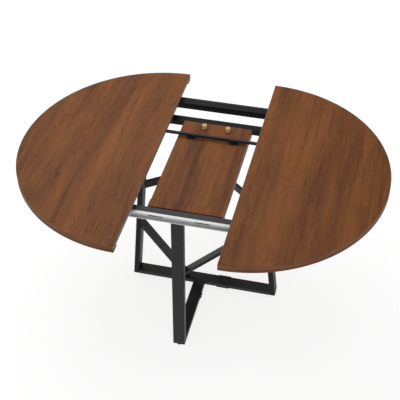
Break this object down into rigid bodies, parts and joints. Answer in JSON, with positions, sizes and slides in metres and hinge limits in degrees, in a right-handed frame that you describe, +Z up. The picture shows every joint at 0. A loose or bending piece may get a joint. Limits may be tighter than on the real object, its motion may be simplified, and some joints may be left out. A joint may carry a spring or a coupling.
{
  "type": "extendable dining table",
  "caption": "Round dining table with two half-round tops that slide apart on ball-bearing runners and a folded leaf that flips up between them, on a slanted steel tube base.",
  "frame": {"origin": "on the floor, under the middle of the table's overall box", "axes": "+Z up; +X towards the right half of the top, along which the halves slide; +Y towards the back"},
  "size_m": [1.6158, 1.2, 0.77],
  "materials": {
    "walnut": "satin walnut veneer with fine straight grain",
    "walnut_edge": "satin dark walnut edge",
    "light_edge": "matte light edge band",
    "black_steel": "satin black powder coat",
    "black_bolt": "black oxide",
    "black_plastic": "matte black",
    "zinc_steel": "bright zinc-plated steel",
    "black_zinc": "black zinc-plated steel",
    "screw_steel": "zinc-plated screw heads",
    "pale_wood": "unfinished pale beech"
  },
  "bodies": {
    "frame": {"leg_left": "black_steel", "leg_right": "black_steel", "leg_front": "black_steel", "leg_back": "black_steel", "beam_left": "black_steel", "beam_right": "black_steel", "beam_front": "black_steel", "splice_sleeve": "black_steel", "splice_bolts": "black_bolt", "joint_plate": "black_steel", "joint_bolts": "black_bolt", "brace_left": "black_steel", "brace_right": "black_steel", "rear_brace_left": "black_steel", "rear_brace_right": "black_steel", "rail_near": "black_steel", "rail_far": "black_steel", "rail_caps": "black_plastic", "side_member_left": "black_steel", "side_member_right": "black_steel", "cross_bar": "black_steel", "slide_near": "zinc_steel", "slide_far": "black_zinc", "slide_screws": "screw_steel", "bearing_left": "black_steel", "bearing_right": "black_steel"},
    "left_half": {"top_left": "walnut", "top_rim_left": "walnut_edge", "top_band_left": "walnut_edge", "straight_band_left": "light_edge", "runners_left": "zinc_steel", "brackets_left": "black_steel", "bracket_screws_left": "screw_steel"},
    "right_half": {"top_right": "walnut", "top_rim_right": "walnut_edge", "top_band_right": "walnut_edge", "straight_band_right": "light_edge", "runners_right": "zinc_steel", "brackets_right": "black_steel", "bracket_screws_right": "screw_steel"},
    "left_cages": {"cages_left": "zinc_steel"},
    "right_cages": {"cages_right": "zinc_steel"},
    "leaf_upper": {"leaf_a": "walnut", "leaf_rim_a": "walnut_edge", "leaf_hinges_a": "zinc_steel", "pivot_bar": "black_steel", "crank_arms": "black_steel", "bar_clips": "black_steel", "clip_screws": "black_bolt", "pegs": "pale_wood"},
    "leaf_lower": {"leaf_b": "walnut", "leaf_rim_b": "walnut_edge", "leaf_hinges_b": "zinc_steel"},
    "left_glide": {"glide_left": "black_plastic"},
    "right_glide": {"glide_right": "black_plastic"},
    "front_glide": {"glide_front": "black_plastic"},
    "back_glide": {"glide_back": "black_plastic"}
  },
  "joints": [
    {"name": "left_half_slide", "type": "slide", "parent": "frame", "child": "left_half", "axis": [-1, 0, 0], "range_m": [-0.2077, 0.01]},
    {"name": "right_half_slide", "type": "slide", "parent": "frame", "child": "right_half", "axis": [1, 0, 0], "range_m": [-0.2077, 0.01]},
    {"name": "left_cage_slide", "type": "slide", "parent": "frame", "child": "left_cages", "axis": [-1, 0, 0], "range_m": [-0.10385, 0.005]},
    {"name": "right_cage_slide", "type": "slide", "parent": "frame", "child": "right_cages", "axis": [1, 0, 0], "range_m": [-0.10385, 0.005]},
    {"name": "leaf_flip", "type": "hinge", "parent": "frame", "child": "leaf_upper", "pos_m": [0, 0.149, 0.739], "axis": [-1, 0, 0], "range_deg": [0, 180]},
    {"name": "leaf_fold", "type": "hinge", "parent": "leaf_upper", "child": "leaf_lower", "pos_m": [0, 0.298, 0.707], "axis": [1, 0, 0], "range_deg": [0, 45]},
    {"name": "left_glide_turn", "type": "hinge", "parent": "frame", "child": "left_glide", "pos_m": [-0.33644, 0, 0.005], "axis": [0, 0, 1], "range_deg": [-360, 360]},
    {"name": "right_glide_turn", "type": "hinge", "parent": "frame", "child": "right_glide", "pos_m": [0.33644, 0, 0.005], "axis": [0, 0, 1], "range_deg": [-360, 360]},
    {"name": "front_glide_turn", "type": "hinge", "parent": "frame", "child": "front_glide", "pos_m": [-0.02, -0.39561, 0.005], "axis": [0, 0, 1], "range_deg": [-360, 360]},
    {"name": "back_glide_turn", "type": "hinge", "parent": "frame", "child": "back_glide", "pos_m": [-0.02, 0.39561, 0.005], "axis": [0, 0, 1], "range_deg": [-360, 360]}
  ],
  "couplings": [
    {"joint": "left_cage_slide", "follows": "left_half_slide", "ratio": 0.5},
    {"joint": "right_cage_slide", "follows": "right_half_slide", "ratio": 0.5}
  ]
}
